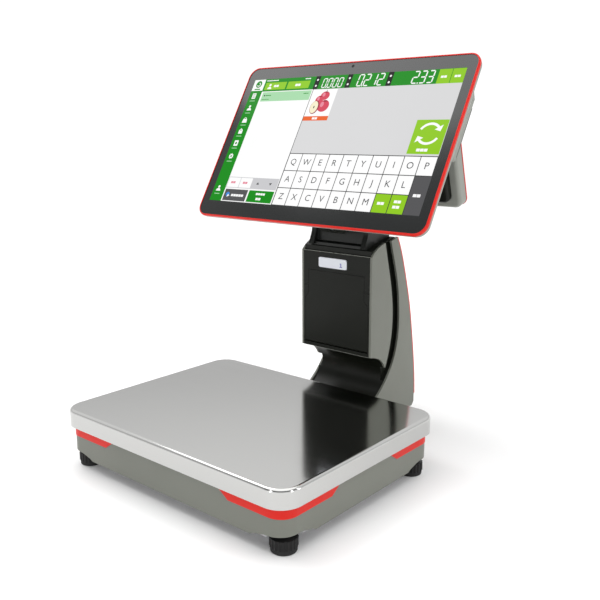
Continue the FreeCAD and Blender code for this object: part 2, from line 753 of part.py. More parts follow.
def print_head():
    """Thermal head on its heat sink, a hair behind the platen."""
    y0 = PLATEN[0] + PLATEN_R + 0.4
    head = slab(40.5, y0, y0 + 4, PLATEN[1] - 3, PLATEN[1] + 14)
    sink = slab(43.8, y0 + 4, y0 + 7, PLATEN[1] - 1, PLATEN[1] + 24)
    head = head.fuse(sink)
    for i in range(5):
        z = PLATEN[1] + 2 + i * 4.5
        head = head.cut(slab(38, y0 + 5.5, y0 + 7, z, z + 2.2))
    return head.removeSplitter()


def paper_roll():
    return rod_x(-38, 38, *ROLL, ROLL_R).cut(rod_x(-39, 39, *ROLL, 10.5))


def roll_spindle():
    spindle = rod_x(-39.5, 39.5, *ROLL, 10.5).cut(rod_x(-36, 36, *ROLL, 7))
    spindle = spindle.fuse(rod_x(-CHASSIS_X - CHASSIS_T, CHASSIS_X + CHASSIS_T, *ROLL, 4))
    for side in (-1, 1):
        spindle = spindle.fuse(rod_x(min(side * 39, side * 41), max(side * 39, side * 41), *ROLL, 14))
    return spindle.removeSplitter()


# ---- connector panel ----------------------------------------------------------------
def io_panel():
    floor_y = PANEL_Y - SOCKET_DEEP
    panel = slab(49, PANEL_Y - 2, PANEL_Y, 29, 58)
    for x, half, rise in sockets():
        half_out = half + 1.2
        rise_out = rise + 1.2
        panel = panel.fuse(box(x - half_out, x + half_out, floor_y - 2, PANEL_Y - 1,
                               SOCKET_Z - rise_out, SOCKET_Z + rise_out))
        panel = panel.cut(box(x - half, x + half, floor_y, PANEL_Y + 1,
                              SOCKET_Z - rise, SOCKET_Z + rise))
    panel = panel.fuse(rod_y(INLET_X, floor_y - 2, PANEL_Y, SOCKET_Z, 5.5))
    return panel.cut(rod_y(INLET_X, floor_y, PANEL_Y + 1, SOCKET_Z, INLET_R)).removeSplitter()


def sockets():
    """X, half width and half height of the network socket and of the two USB sockets."""
    return [(-8, 6.2, 5.6), (14, 6.4, 2.6), (34, 6.4, 2.6)]


# ---- screens: built upright with the glass at Y = 0 facing -Y, and Z along the screen --
def screen_block(half, low, high, y0, y1, radius):
    return rounded(box(-half, half, y0, y1, low, high), radius, Y_AXIS)


def stand(shape, turn, lean, place):
    """Turn an upright screen piece about Z, lean its top back and put it in its place."""
    placed = shape.copy()
    placed.rotate(V(0, 0, 0), Z_AXIS, turn)
    placed.rotate(V(0, 0, 0), X_AXIS, lean)
    placed.translate(V(0, *place))
    return placed


def for_operator(shape):
    return stand(shape, 0, -LEAN, DISPLAY)


def for_customer(shape):
    return stand(shape, 180, REAR_LEAN, REAR_DISPLAY)


def screen_body(inset, y0, y1, radius):
    return screen_block(SCREEN_W - inset, SCREEN_LOW + inset, SCREEN_HIGH - inset, y0, y1, radius)


def display_rim():
    """Red ring round the glass, rounded in front and a little way down the sides."""
    ring = screen_body(0, -RIM_PROUD, RIM_BACK, SCREEN_R)
    ring = ring.makeFillet(1.4, edges_at(ring, Y_AXIS, -RIM_PROUD))
    return ring.cut(screen_body(BEZEL, -2, 5, SCREEN_R - BEZEL))


def display_glass():
    return screen_body(BEZEL + 0.1, 0, GLASS_T, SCREEN_R - BEZEL - 0.1)


def display_lcd():
    return screen_block(177, -102, 102, 2.6, 9.0, 2)


def display_shell():
    """Light grey back: a shallow dish with a raised housing for the computer."""
    shell = screen_body(0.8, RIM_BACK, BACK_DEPTH, SCREEN_R - 0.8)
    shell = shell.makeFillet(6.0, edges_at(shell, Y_AXIS, BACK_DEPTH))
    shell = shell.cut(screen_body(3.5, 2, BACK_DEPTH - 2.2, SCREEN_R - 3.5))
    # the lip that the glass is seated on
    lip = screen_body(BEZEL + 0.1, GLASS_T, GLASS_T + 2, SCREEN_R - BEZEL - 0.1)
    shell = shell.fuse(lip.cut(screen_block(178, -103, 103, 2, 7, 2)))
    hump = [
        (BACK_DEPTH - 1, -13), (HUMP_DEPTH, -13), (HUMP_DEPTH, 71), (20, 79), (BACK_DEPTH - 1, 88),
    ]
    inner = [
        (BACK_DEPTH - 4, -10.5), (HUMP_DEPTH - 2.2, -10.5), (HUMP_DEPTH - 2.2, 69.5), (19, 76.5),
        (BACK_DEPTH - 4, 83),
    ]
    raised = rounded(extrude_x(polygon_yz(hump), -HUMP_X, HUMP_X), 3, Y_AXIS)
    shell = shell.fuse(raised).cut(extrude_x(polygon_yz(inner), 2.4 - HUMP_X, HUMP_X - 2.4))
    # power button's hole and ventilation slots in the housing's lower face
    shell = shell.cut(rod_z(BUTTON_X, BUTTON_Y, -15, -9, 4.4))
    for i in range(14):
        x = -120 + i * 10.0
        shell = shell.cut(box(x, x + 4.5, 16, 23, -15, -9))
    return shell.removeSplitter()


def power_button():
    """Button in the housing's lower face, pushed up along the screen."""
    return rod_z(BUTTON_X, BUTTON_Y, -14.4, -9.0, 4.0).fuse(rod_z(BUTTON_X, BUTTON_Y, -10.1, -9.0, 5.2))


def hump_cover():
    """Black service cover over the computer."""
    cover = screen_block(HUMP_X, -9.5, 63, HUMP_DEPTH, HUMP_DEPTH + 2, 5)
    cover = cover.makeFillet(1.2, edges_at(cover, Y_AXIS, HUMP_DEPTH + 2))
    for i in range(10):
        z = 4 + i * 5.0
        for x0 in (-150, 100):
            cover = cover.cut(box(x0, x0 + 50, HUMP_DEPTH - 1, HUMP_DEPTH + 3, z, z + 2))
    return cover


def main_board():
    """Computer board with its cooler and its port block."""
    board = box(-90, 70, 13, 14.6, -6, 74)
    cooler = box(-30, 10, 14.6, 22, 15, 55)
    for i in range(6):
        cooler = cooler.cut(box(-27.5 + i * 6.4, -24 + i * 6.4, 17, 22, 15, 55))
    return board.fuse([cooler, box(30, 60, 14.6, 20, -5, 10), box(-80, -50, 14.6, 18, 30, 50)])


def tilt_bracket():
    """Steel bracket from the display's back to a barrel on the tilt pin."""
    plate = screen_block(48, -96, -20, BACK_DEPTH, BACK_DEPTH + 3, 5)
    web = polygon_yz([
        (BACK_DEPTH + 1, -88), (TILT_PIN_W - 4, TILT_PIN_V - 9), (TILT_PIN_W + 3, TILT_PIN_V),
        (TILT_PIN_W - 4, TILT_PIN_V + 9), (BACK_DEPTH + 1, -28),
    ])
    bracket = plate.fuse(both_sides(extrude_x(web, 24, 36)))
    bracket = bracket.fuse(rod_x(-39.6, 39.6, TILT_PIN_W, TILT_PIN_V, 10))
    return bracket.cut(rod_x(-50, 50, TILT_PIN_W, TILT_PIN_V, TILT_PIN_R + RUN)).removeSplitter()


# ---- customer's display -------------------------------------------------------------
def rear_body(inset, y0, y1, radius):
    return screen_block(REAR_W - inset, inset - REAR_H, REAR_H - inset, y0, y1, radius)


def rear_rim():
    ring = rear_body(0, -RIM_PROUD, REAR_RIM_BACK, REAR_R)
    ring = ring.makeFillet(1.4, edges_at(ring, Y_AXIS, -RIM_PROUD))
    return ring.cut(rear_body(BEZEL, -2, 4, REAR_R - BEZEL))


def rear_glass():
    return rear_body(BEZEL + 0.1, 0, REAR_RIM_BACK, REAR_R - BEZEL - 0.1)


def rear_shell():
    shell = rear_body(0.5, REAR_RIM_BACK, REAR_SHELL_DEPTH, REAR_R - 0.5)
    shell = shell.makeFillet(5.0, edges_at(shell, Y_AXIS, REAR_SHELL_DEPTH))
    return shell.cut(rear_body(3.0, 1.0, REAR_SHELL_DEPTH - 2.2, REAR_R - 3.0))


def rear_panel():
    """Display panel and its driver board behind the glass."""
    panel = screen_block(114, -72, 72, REAR_RIM_BACK + 0.1, 7.6, 2)
    return panel.fuse(box(-50, 50, 7.6, 12, -60, -20))


def rear_cover_customer():
    """Black back cover with shallow ribs, and the hinge barrel moulded on it."""
    cover = screen_block(112.5, -71.5, 74, REAR_SHELL_DEPTH, REAR_DEPTH, 8)
    cover = cover.makeFillet(4.0, edges_at(cover, Y_AXIS, REAR_DEPTH))
    cover = cover.cut(screen_block(110, -69, 71.5, REAR_SHELL_DEPTH - 1, REAR_DEPTH - 2.4, 6))
    for side in (-1, 1):
        for i in range(3):
            x = side * (92 - i * 5.0)
            cover = cover.cut(box(x - 0.7, x + 0.7, REAR_DEPTH - 0.8, REAR_DEPTH + 1, -60, 62))
    web = polygon_yz([
        (REAR_DEPTH - 2, REAR_PIN_V - 16), (REAR_PIN_W, REAR_PIN_V - 8),
        (REAR_PIN_W, REAR_PIN_V + 8), (REAR_DEPTH - 2, REAR_PIN_V + 16),
    ])
    cover = cover.fuse(extrude_x(web, -25.6, 25.6))
    cover = cover.fuse(rod_x(-25.6, 25.6, REAR_PIN_W, REAR_PIN_V, 8))
    return cover.cut(rod_x(-30, 30, REAR_PIN_W, REAR_PIN_V, REAR_PIN_R + RUN)).removeSplitter()


def rear_pin_local():
    """The rear hinge pin as the operator's screen sees it: depth behind glass, and height."""
    lean = math.radians(REAR_LEAN)
    y = REAR_DISPLAY[0] - REAR_PIN_V * math.sin(lean) - REAR_PIN_W * math.cos(lean) - DISPLAY[0]
    z = REAR_DISPLAY[1] + REAR_PIN_V * math.cos(lean) - REAR_PIN_W * math.sin(lean) - DISPLAY[1]
    back = math.radians(LEAN)
    return y * math.cos(back) - z * math.sin(back), y * math.sin(back) + z * math.cos(back)


def rear_arm():
    """Fork on the computer's cover that carries the customer's display."""
    y, z = rear_pin_local()
    plate = screen_block(42, 6, 60, HUMP_DEPTH + 2, HUMP_DEPTH + 5, 5)
    web = polygon_yz([(HUMP_DEPTH + 3, z - 24), (y, z - 9), (y, z + 9), (HUMP_DEPTH + 3, z + 22)])
    lugs = both_sides(extrude_x(web, 26, 34).fuse(rod_x(26, 34, y, z, 9)))
    return plate.fuse(lugs).cut(rod_x(-50, 50, y, z, REAR_PIN_R + RUN)).removeSplitter()


def rear_pin():
    y, z = rear_pin_local()
    return rod_x(-36, 36, y, z, REAR_PIN_R)


# ---- build --------------------------------------------------------------------------
def build():
    strips = [corner_strip(x, front) for front in (True, False) for x in (-1, 1)]
    pieces = {
        "platter": platter(),
        "platter_spider": platter_spider(),
        "spider_pads": spider_pads(),
        "load_cell": load_cell(),
        "m6_bolts": m6_bolts(),
        "base_frame": base_frame(),
        "base_skirt": base_skirt(strips),
        "corner_strips": group(strips),
        "bottom_plate": bottom_plate(),
        "weighing_board": weighing_board(),
        "bubble_level": bubble_level(),
        "column_core": column_core(),
        "column_trims": column_trims(),
        "rear_cover": rear_cover(),
        "io_panel": io_panel(),
        "mast": mast(),
        "neck_yoke": neck_yoke(),
        "tilt_pin": tilt_pin(),
        "camera_housing": camera_housing(),
        "camera_lens": camera_lens(),
        "printer_fascia": printer_fascia(),
        "door_frame": door_frame(),
        "printer_door": printer_door(),
        "door_pin": door_pin(),
        "release_key": release_key(),
        "printer_chassis": printer_chassis(),
        "print_head": print_head(),
        "feed_motor": feed_motor(),
        "motor_pinion": motor_pinion(),
        "platen_roller": platen_roller(),
        "platen_shaft": platen_shaft(),
        "paper_roll": paper_roll(),
        "roll_spindle": roll_spindle(),
    }
    for i, (x, y) in enumerate(foot_places(), 1):
        pieces["foot_sole_%d" % i] = foot_sole(x, y)
        pieces["foot_knob_%d" % i] = foot_knob(x, y)
    for name, plate in (("side_plate", side_plate()), ("printer_cheek", cheek())):
        right, left = both_sides(plate)
        pieces[name + "_right"] = right
        pieces[name + "_left"] = left
    for name, shape in (
        ("display_rim", display_rim()),
        ("display_glass", display_glass()),
        ("display_lcd", display_lcd()),
        ("display_shell", display_shell()),
        ("power_button", power_button()),
        ("hump_cover", hump_cover()),
        ("main_board", main_board()),
        ("tilt_bracket", tilt_bracket()),
        ("rear_arm", rear_arm()),
        ("rear_pin", rear_pin()),
    ):
        pieces[name] = for_operator(shape)
    for name, shape in (
        ("rear_display_rim", rear_rim()),
        ("rear_display_glass", rear_glass()),
        ("rear_display_shell", rear_shell()),
        ("rear_display_panel", rear_panel()),
        ("rear_display_cover", rear_cover_customer()),
    ):
        pieces[name] = for_customer(shape)
    return pieces


os.makedirs("parts", exist_ok=True)
for node, solid in build().items():
    save(node, solid)
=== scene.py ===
import json
import math

import bmesh
import bpy
from mathutils import Matrix, Vector

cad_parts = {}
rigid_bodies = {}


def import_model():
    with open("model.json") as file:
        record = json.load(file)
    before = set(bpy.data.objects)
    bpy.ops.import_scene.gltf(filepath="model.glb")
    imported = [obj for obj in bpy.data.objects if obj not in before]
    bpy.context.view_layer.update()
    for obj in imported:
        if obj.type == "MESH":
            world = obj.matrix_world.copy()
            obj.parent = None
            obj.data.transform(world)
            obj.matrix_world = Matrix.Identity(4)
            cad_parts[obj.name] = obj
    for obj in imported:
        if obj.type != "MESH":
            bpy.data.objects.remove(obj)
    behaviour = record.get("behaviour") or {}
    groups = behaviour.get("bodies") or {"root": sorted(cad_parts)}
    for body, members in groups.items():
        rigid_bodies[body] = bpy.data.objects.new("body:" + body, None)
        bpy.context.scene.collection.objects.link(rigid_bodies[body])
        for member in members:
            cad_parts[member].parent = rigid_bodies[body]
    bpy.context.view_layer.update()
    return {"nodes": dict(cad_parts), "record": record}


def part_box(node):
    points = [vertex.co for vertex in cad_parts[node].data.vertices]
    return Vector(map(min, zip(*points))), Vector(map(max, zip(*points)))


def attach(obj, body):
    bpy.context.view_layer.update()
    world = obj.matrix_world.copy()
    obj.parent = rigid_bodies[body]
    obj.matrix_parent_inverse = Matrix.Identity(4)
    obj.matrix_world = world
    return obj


# Looks for the retail price scale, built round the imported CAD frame. Metres, in the frame's
# own axes: +X to the operator's right, +Y towards the customer, +Z up, Z = 0 on the counter.

for leftover in list(bpy.data.objects):
    bpy.data.objects.remove(leftover)

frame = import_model()
MM = 0.001
NODES = frame["nodes"]


# ---- materials ----------------------------------------------------------------------
def srgb(r, g, b):
    """An 8-bit screen colour as linear light."""
    def linear(c):
        c = c / 255.0
        return c / 12.92 if c <= 0.04045 else ((c + 0.055) / 1.055) ** 2.4
    return (linear(r), linear(g), linear(b), 1.0)


class Shader:
    """A node material, built up one call at a time."""

    def __init__(self, name, roughness, metallic=0.0, specular=0.5):
        self.material = bpy.data.materials.new(name)
        self.material.use_nodes = True
        self.nodes = self.material.node_tree.nodes
        self.links = self.material.node_tree.links
        self.shader = self.nodes["Principled BSDF"]
        self.set("Roughness", roughness)
        self.set("Metallic", metallic)
        self.set("Specular IOR Level", specular)
        self.coordinates = self.nodes.new("ShaderNodeTexCoord").outputs["Object"]
        self.normal = None

    def set(self, socket, value):
        self.shader.inputs[socket].default_value = value

    def link(self, output, socket):
        self.links.new(output, self.shader.inputs[socket])

    def noise(self, scale, detail=3.0, stretch=(1, 1, 1)):
        mapping = self.nodes.new("ShaderNodeMapping")
        mapping.inputs["Scale"].default_value = stretch
        self.links.new(self.coordinates, mapping.inputs["Vector"])
        texture = self.nodes.new("ShaderNodeTexNoise")
        texture.inputs["Scale"].default_value = scale
        texture.inputs["Detail"].default_value = detail
        self.links.new(mapping.outputs["Vector"], texture.inputs["Vector"])
        return texture.outputs["Fac"]

    def ramp(self, factor, low, high, start=0.3, end=0.7):
        ramp = self.nodes.new("ShaderNodeValToRGB")
        ramp.color_ramp.elements[0].position = start
        ramp.color_ramp.elements[0].color = low
        ramp.color_ramp.elements[1].position = end
        ramp.color_ramp.elements[1].color = high
        self.links.new(factor, ramp.inputs["Fac"])
        return ramp.outputs["Color"]

    def colour(self, base, spread=0.06, scale=6.0):
        """The base colour with a soft, large mottle of the given spread."""
        low = tuple(c * (1 - spread) for c in base[:3]) + (1,)
        high = tuple(min(1.0, c * (1 + spread)) for c in base[:3]) + (1,)
        self.link(self.ramp(self.noise(scale), low, high), "Base Color")
        return self

    def roughness_spread(self, low, high, scale=40.0, stretch=(1, 1, 1)):
        values = self.nodes.new("ShaderNodeMapRange")
        values.inputs["From Min"].default_value = 0.3
        values.inputs["From Max"].default_value = 0.7
        values.inputs["To Min"].default_value = low
        values.inputs["To Max"].default_value = high
        self.links.new(self.noise(scale, 4.0, stretch), values.inputs["Value"])
        self.link(values.outputs["Result"], "Roughness")
        return self

    def rounded_edges(self, radius):
        """Edges catch the light as if they were rounded by this radius."""
        bevel = self.nodes.new("ShaderNodeBevel")
        bevel.samples = 6
        bevel.inputs["Radius"].default_value = radius
        self.normal = bevel.outputs["Normal"]
        self.link(self.normal, "Normal")
        return self

    def bump(self, height, strength, distance):
        bump = self.nodes.new("ShaderNodeBump")
        bump.inputs["Strength"].default_value = strength
        bump.inputs["Distance"].default_value = distance
        self.links.new(height, bump.inputs["Height"])
        if self.normal is not None:
            self.links.new(self.normal, bump.inputs["Normal"])
        self.normal = bump.outputs["Normal"]
        self.link(self.normal, "Normal")
        return self


def moulded(name, base, roughness, grain, strength, specular=0.3, edge=0.35 * MM, spread=0.05):
    """Injection-moulded plastic: a fine spark-eroded grain and slightly soft edges."""
    shader = Shader(name, roughness, specular=specular)
    shader.colour(base, spread)
    shader.roughness_spread(roughness * 0.85, min(1.0, roughness * 1.15), 30.0)
    shader.rounded_edges(edge)
    shader.bump(shader.noise(grain, 2.0), strength, 0.05 * MM)
    return shader.material


def stainless():
    """Brushed sheet: long fine scratches across the pan, in its polish and its relief."""
    shader = Shader("stainless", 0.12, metallic=1.0)
    brushed = (3.0, 300.0, 300.0)
    shader.colour((0.51, 0.51, 0.50, 1), 0.02, 2.0)
    shader.roughness_spread(0.09, 0.15, 4.0, brushed)
    shader.rounded_edges(0.5 * MM)
    shader.bump(shader.noise(5.0, 3.0, brushed), 0.03, 0.01 * MM)
    return shader.material


def machined(name, base, roughness, edge=0.3 * MM):
    shader = Shader(name, roughness, metallic=1.0)
    shader.colour(base, 0.08, 20.0)
    shader.roughness_spread(roughness * 0.75, roughness * 1.3, 60.0, (1, 8, 1))
    shader.rounded_edges(edge)
    shader.bump(shader.noise(300.0), 0.15, 0.03 * MM)
    return shader.material


def powder_coat(name, base, roughness):
    shader = Shader(name, roughness, specular=0.3)
    shader.colour(base, 0.08, 15.0)
    shader.roughness_spread(roughness * 0.9, roughness * 1.1, 80.0)
    shader.rounded_edges(0.4 * MM)
    shader.bump(shader.noise(900.0, 2.0), 0.25, 0.08 * MM)
    return shader.material


def rubber():
    shader = Shader("rubber", 0.75, specular=0.3)
    shader.colour((0.018, 0.018, 0.018, 1), 0.25, 25.0)
    shader.roughness_spread(0.65, 0.85, 60.0)
    shader.bump(shader.noise(600.0), 0.3, 0.08 * MM)
    return shader.material


def black_glass():
    """Cover glass with a black print behind it, and the faintest smears on its face."""
    shader = Shader("black_glass", 0.12, specular=0.42)
    shader.colour((0.005, 0.006, 0.006, 1), 0.2, 8.0)
    shader.roughness_spread(0.11, 0.15, 12.0, (1, 3, 1))
    return shader.material


def circuit_board():
    shader = Shader("circuit_board", 0.35)
    tracks = shader.noise(160.0, 1.0, (1, 6, 1))
    mask = shader.ramp(tracks, (0.01, 0.10, 0.04, 1), (0.03, 0.22, 0.09, 1), 0.46, 0.54)
    shader.link(mask, "Base Color")
    shader.bump(tracks, 0.2, 0.05 * MM)
    return shader.material


def paper():
    shader = Shader("label_paper", 0.7)
    layers = shader.noise(40.0, 2.0, (1, 30, 30))
    shader.link(shader.ramp(layers, (0.66, 0.65, 0.60, 1), (0.82, 0.82, 0.78, 1)), "Base Color")
    shader.bump(layers, 0.2, 0.05 * MM)
    return shader.material


def lit(name, colour, strength=1.0, spread=0.02):
    """A colour shown by a lit screen, behind its glossy cover glass."""
    shader = Shader(name, 0.1, specular=0.04)
    low = tuple(c * (1 - spread) for c in colour[:3]) + (1,)
    shade = shader.ramp(shader.noise(9.0), low, colour)
    shader.link(shade, "Emission Color")
    shader.set("Emission Strength", strength)
    shader.set("Base Color", (0.01, 0.01, 0.01, 1))
    return shader.material


MATERIALS = {
    "stainless": stainless(),
    "cast_steel": powder_coat("cast_steel", (0.030, 0.031, 0.032, 1), 0.5),
    "aluminium": machined("aluminium", (0.72, 0.72, 0.74, 1), 0.35),
    "bright_steel": machined("bright_steel", (0.60, 0.60, 0.62, 1), 0.3),
    "black_steel": powder_coat("black_steel", (0.006, 0.007, 0.006, 1), 0.36),
    "grey_shell": moulded("grey_shell", srgb(112, 114, 106), 0.4, 900.0, 0.10),
    "red_trim": moulded("red_trim", srgb(206, 32, 22), 0.35, 500.0, 0.03, specular=0.2, spread=0.02),
    "black_plastic": moulded("black_plastic", (0.0070, 0.0080, 0.0056, 1), 0.34, 800.0, 0.10,
                             specular=0.17, spread=0.15),
    "knob_plastic": moulded("knob_plastic", (0.0055, 0.0055, 0.0055, 1), 0.42, 700.0, 0.2,
                            specular=0.25, spread=0.2),
    "light_grey": moulded("light_grey", srgb(140, 142, 135), 0.4, 900.0, 0.1),
    "rubber": rubber(),
    "screen_glass": black_glass(),
    "lcd_panel": machined("lcd_panel", (0.45, 0.45, 0.46, 1), 0.45),
    "circuit_board": circuit_board(),
    "label_paper": paper(),
    "white_key": moulded("white_key", srgb(226, 229, 236), 0.35, 400.0, 0.05, spread=0.02),
    "level_body": moulded("level_body", srgb(40, 42, 40), 0.35, 500.0, 0.1),
    "level_liquid": moulded("level_liquid", srgb(168, 205, 60), 0.08, 300.0, 0.02),
    "level_air": moulded("level_air", srgb(225, 240, 170), 0.06, 300.0, 0.02),
    "key_ink": moulded("key_ink", srgb(96, 98, 182), 0.5, 400.0, 0.03),
}


def dress_cad_nodes():
    """Every CAD node keeps its shape and takes the material of its slot."""
    for part in frame["record"]["subparts"]:
        node = NODES[part["node"]]
        node.data.materials.clear()
        node.data.materials.append(MATERIALS[part["material_slot"]])


# ---- mesh building ------------------------------------------------------------------
def piece_from(name, bm, material, body, matrix):
    """Finish a bmesh as a piece that rides on a body."""
    bmesh.ops.recalc_face_normals(bm, faces=bm.faces)
    mesh = bpy.data.meshes.new(name)
    bm.to_mesh(mesh)
    bm.free()
    mesh.transform(matrix)
    mesh.materials.append(material)
    piece = bpy.data.objects.new(name, mesh)
    bpy.context.scene.collection.objects.link(piece)
    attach(piece, body)
    return piece


def add_prism(bm, points, near, far):
    """A flat shape in X and Z, given as (x, z) points, filled from y = near to y = far."""
    front = [bm.verts.new((x, near, z)) for x, z in points]
    back = [bm.verts.new((x, far, z)) for x, z in points]
    bm.faces.new(front)
    bm.faces.new(back[::-1])
    for i in range(len(points)):
        j = (i + 1) % len(points)
        bm.faces.new((front[i], back[i], back[j], front[j]))


def rounded_rectangle(x0, x1, z0, z1, radius, steps=5):
    if radius <= 0:
        return [(x0, z0), (x1, z0), (x1, z1), (x0, z1)]
    corners = ((x1 - radius, z0 + radius, -90), (x1 - radius, z1 - radius, 0),
               (x0 + radius, z1 - radius, 90), (x0 + radius, z0 + radius, 180))
    points = []
    for x, z, start in corners:
        for i in range(steps + 1):
            angle = math.radians(start + 90.0 * i / steps)
            points.append((x + radius * math.cos(angle), z + radius * math.sin(angle)))
    return points


def circle(x, z, radius, steps=24, start=0.0, sweep=360.0):
    closed = abs(sweep) >= 360.0
    count = steps if closed else steps + 1
    return [(x + radius * math.cos(math.radians(start + sweep * i / steps)),
             z + radius * math.sin(math.radians(start + sweep * i / steps))) for i in range(count)]


def band(x, z, inner, outer, start, sweep, steps=20):
    """A curved band as a closed outline."""
    return circle(x, z, outer, steps, start, sweep) + circle(x, z, inner, steps, start + sweep, -sweep)


# ---- screens ------------------------------------------------------------------------
class Screen:
    """A glass's own axes: X, depth into the device and height along the glass."""

    def __init__(self, node, body, facing):
        mesh = NODES[node].data
        widest = max(mesh.polygons, key=lambda p: p.area)
        normal = widest.normal.copy()
        if normal.y * facing < 0:
            normal.negate()
        up = Vector((0, -normal.z * normal.y / abs(normal.y), abs(normal.y)))
        side = up.cross(normal)
        into = -normal
        turn = Matrix((side, into, up)).transposed()
        local = [turn.transposed() @ v.co for v in mesh.vertices]
        self.low = Vector([min(p[i] for p in local) for i in range(3)])
        self.high = Vector([max(p[i] for p in local) for i in range(3)])
        self.turn = turn
        self.body = body
        self.slot = "screen_glass"

    def middle_of(self, node):
        """A node's middle, in millimetres from the glass's lower left corner."""
        local = [self.turn.transposed() @ v.co for v in NODES[node].data.vertices]
        x = sum((min(p.x for p in local), max(p.x for p in local))) / 2
        z = sum((min(p.z for p in local), max(p.z for p in local))) / 2
        return (x - self.low.x) / MM, (z - self.low.z) / MM

    def matrix(self, x, z):
        """Axes with their origin on the glass's face, x and z from its lower left corner."""
        origin = self.turn @ Vector((self.low.x + x, self.low.y, self.low.z + z))
        return Matrix.Translation(origin) @ self.turn.to_4x4()


LAYER_STEP = 0.03               # millimetres from one level to the next


class Layer:
    """Flat shapes of one colour, a hair in front of a screen's glass. Millimetres inside."""

    def __init__(self, screen, origin, name, material, level):
        self.screen = screen
        self.origin = origin
        self.name = name
        self.material = material
        self.near = -LAYER_STEP * level
        self.far = -LAYER_STEP * (level - 1)
        self.bm = bmesh.new()

    def shape(self, points):
        add_prism(self.bm, points, self.near, self.far)

    def rect(self, x0, x1, z0, z1, radius=0.0):
        self.shape(rounded_rectangle(x0, x1, z0, z1, radius))

    def disc(self, x, z, radius):
        self.shape(circle(x, z, radius))

    def text(self, words, x, z, size):
        """Letters centred on x and z."""
        curve = bpy.data.curves.new("letters", "FONT")
        curve.body = words
        curve.size = size
        curve.align_x = "CENTER"
        curve.align_y = "CENTER"
        curve.resolution_u = 3
        holder = bpy.data.objects.new("letters", curve)
        mesh = bpy.data.meshes.new_from_object(holder)
        verts = [self.bm.verts.new((x + v.co.x, self.near, z + v.co.y)) for v in mesh.vertices]
        for polygon in mesh.polygons:
            self.bm.faces.new([verts[i] for i in polygon.vertices])
        bpy.data.objects.remove(holder)
        bpy.data.curves.remove(curve)
        bpy.data.meshes.remove(mesh)

    def seven_segment(self, digit, x, z, width, height, stroke, slant):
        """One numeral, its lower left corner at x and z."""
        lit_bars = {"0": "abcdef", "1": "bc", "2": "abged", "3": "abgcd"}[digit]
        half = height / 2
        gap = stroke * 0.18
        bars = {
            "a": (0, height, 1), "g": (0, half, 1), "d": (0, 0, 1),
            "f": (0, half, 0), "b": (width, half, 0), "e": (0, 0, 0), "c": (width, 0, 0),
        }
        for name in lit_bars:
            bx, bz, flat = bars[name]
            s = stroke / 2
            if flat:
                outline = [(bx + gap, bz), (bx + gap + s, bz + s), (bx + width - gap - s, bz + s),
                           (bx + width - gap, bz), (bx + width - gap - s, bz - s),
                           (bx + gap + s, bz - s)]
            else:
                outline = [(bx, bz + gap), (bx + s, bz + gap + s), (bx + s, bz + half - gap - s),
                           (bx, bz + half - gap), (bx - s, bz + half - gap - s), (bx - s, bz + gap + s)]
            self.shape([(x + px + pz * slant, z + pz) for px, pz in outline])

    def done(self):
        matrix = self.screen.matrix(self.origin[0] * MM, self.origin[1] * MM) @ Matrix.Scale(MM, 4)
        return piece_from(self.name, self.bm, self.material, self.screen.body, matrix)


PANEL_W = 344.2                 # lit area of the operator's screen
PANEL_H = 193.6
SIDEBAR_W = 22.6
TOP_BAR_H = 20.4
LIST_W = 95.0
KEY_ROWS = ("QWERTYUIOP", "ASDFGHJKL", "ZXCVBNM")
KEY_H = 25.2
# colours of the lit screens, by name
UI = {
    "green": lit("ui_green", srgb(0, 140, 6)),
    "bright": lit("ui_bright_green", srgb(144, 203, 22)),
    "white": lit("ui_white", srgb(254, 254, 254)),
    "grey": lit("ui_grey", srgb(217, 217, 218)),
    "pale": lit("ui_pale_green", srgb(168, 219, 172)),
    "dark": lit("ui_dark", srgb(84, 84, 86)),
    "line": lit("ui_line", srgb(52, 54, 54)),
    "black": lit("ui_black", srgb(8, 10, 8)),
    "button": lit("ui_button_grey", srgb(203, 203, 206)),
    "orange": lit("ui_orange", srgb(236, 98, 28)),
    "red": lit("ui_apple_red", srgb(214, 68, 92)),
    "cream": lit("ui_apple_flesh", srgb(247, 239, 205)),
    "pink": lit("ui_pink", srgb(232, 140, 158)),
    "maroon": lit("ui_maroon", srgb(150, 34, 56)),
    "blue": lit("ui_blue", srgb(60, 140, 220)),
    "letter": lit("ui_letter", srgb(66, 68, 70)),
}


def operator_layers(screen):
    """A layer per colour, made on demand, over the middle of the screen's panel."""
    x, z = screen.middle_of("display_lcd")
    origin = (x - PANEL_W / 2, z - PANEL_H / 2)
    made = {}

    def layer(colour, level):
        key = (colour, level)
        if key not in made:
            made[key] = Layer(screen, origin, "screen_%s_%d" % (colour, level), UI[colour], level)
        return made[key]

    return layer, made


def draw_backgrounds(layer):
    top = PANEL_H - TOP_BAR_H
    list_end = SIDEBAR_W + LIST_W
    keys_top = 3 * KEY_H
    layer("line", 1).rect(0, PANEL_W, 0, PANEL_H)
    layer("green", 2).rect(0, SIDEBAR_W, 0, PANEL_H)
    layer("green", 2).rect(SIDEBAR_W, PANEL_W, top, PANEL_H)
    layer("white", 2).rect(SIDEBAR_W, list_end, 0, top)
    layer("grey", 2).rect(list_end + 1.0, PANEL_W, keys_top + 0.6, top)


